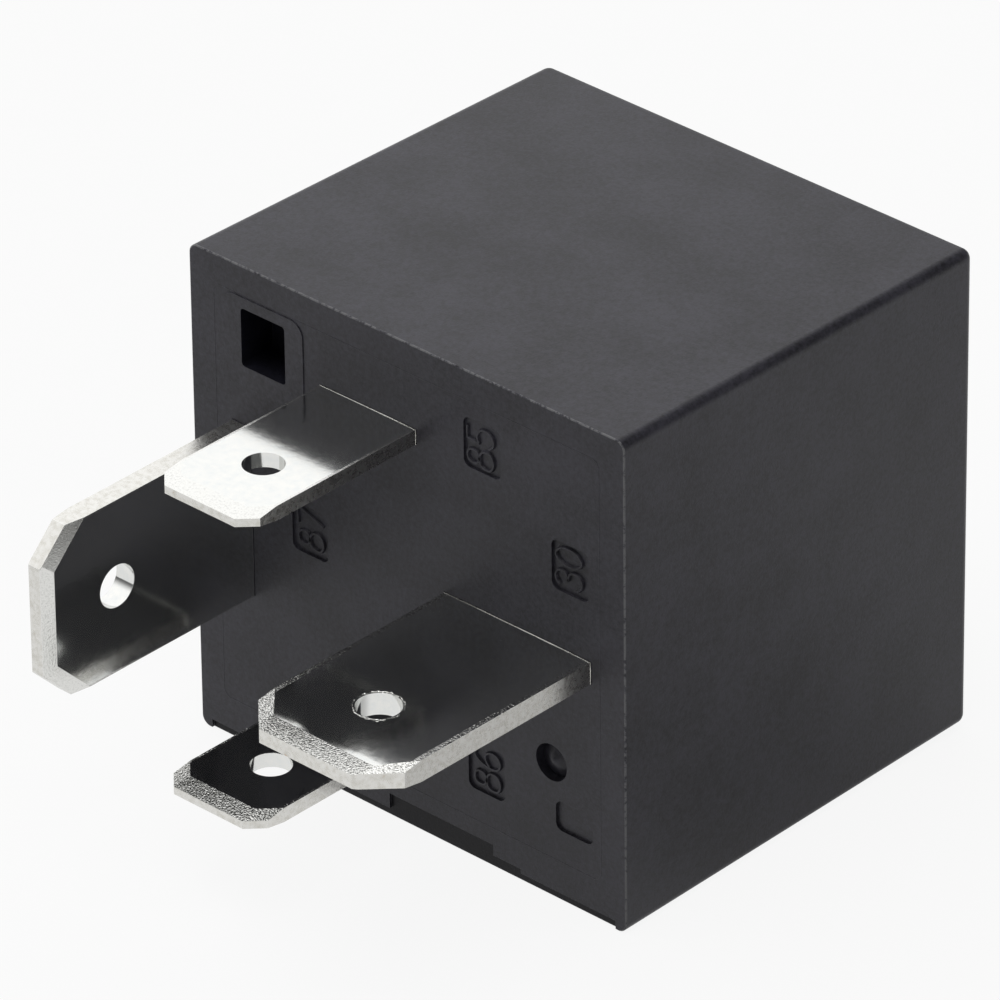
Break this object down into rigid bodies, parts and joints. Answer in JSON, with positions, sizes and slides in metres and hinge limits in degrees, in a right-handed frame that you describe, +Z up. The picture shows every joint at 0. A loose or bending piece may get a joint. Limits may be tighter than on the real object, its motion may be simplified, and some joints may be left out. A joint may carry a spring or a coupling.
{
  "type": "automotive relay",
  "caption": "Plug-in automotive power relay: a black moulded cube with blade terminals, holding a coil, armature and one normally open contact.",
  "frame": {"origin": "centre of the terminal face, on its surface", "axes": "-Y the way the terminals point, +Y into the housing, +Z up as it lies on its side, X across the face from terminal 87 to terminal 30"},
  "size_m": [0.0284, 0.0396, 0.0274],
  "materials": {
    "cover_plastic": "moulded black PBT, fine eroded texture",
    "base_plastic": "moulded black PBT, fine texture",
    "tinned_brass": "stamped brass, tin plated",
    "contact_silver": "headed silver alloy",
    "plated_steel": "stamped steel, zinc plated",
    "core_iron": "turned soft iron, plated",
    "rivet_copper": "headed copper",
    "spring_bronze": "rolled copper alloy strip",
    "bobbin_nylon": "moulded natural nylon",
    "winding_copper": "enamelled copper wire",
    "coil_tape": "polyester film tape",
    "resistor_lacquer": "dipped lacquer",
    "tinned_wire": "drawn copper wire, tinned"
  },
  "bodies": {
    "housing": {"cover": "cover_plastic", "base": "base_plastic", "terminal_30": "tinned_brass", "terminal_85": "tinned_brass", "terminal_86": "tinned_brass", "terminal_87": "tinned_brass", "fixed_contact": "contact_silver", "yoke": "plated_steel", "yoke_rivets": "rivet_copper", "core": "core_iron", "bobbin": "bobbin_nylon", "coil_winding": "winding_copper", "coil_tape": "coil_tape", "coil_lead_85": "winding_copper", "coil_lead_86": "winding_copper", "suppression_resistor": "resistor_lacquer", "resistor_lead_85": "tinned_wire", "resistor_lead_86": "tinned_wire", "armature_stop": "plated_steel"},
    "armature": {"armature": "plated_steel", "armature_rivets": "rivet_copper", "contact_spring": "spring_bronze", "moving_contact": "contact_silver"}
  },
  "joints": [
    {"name": "armature_pivot", "type": "hinge", "parent": "housing", "child": "armature", "pos_m": [0.01, 0.01945, 0.00015], "axis": [0, 0, 1], "range_deg": [0, 3], "stiffness_Nm_per_rad": 0.03, "springref_deg": -20.05, "deforming": ["contact_spring"]}
  ]
}
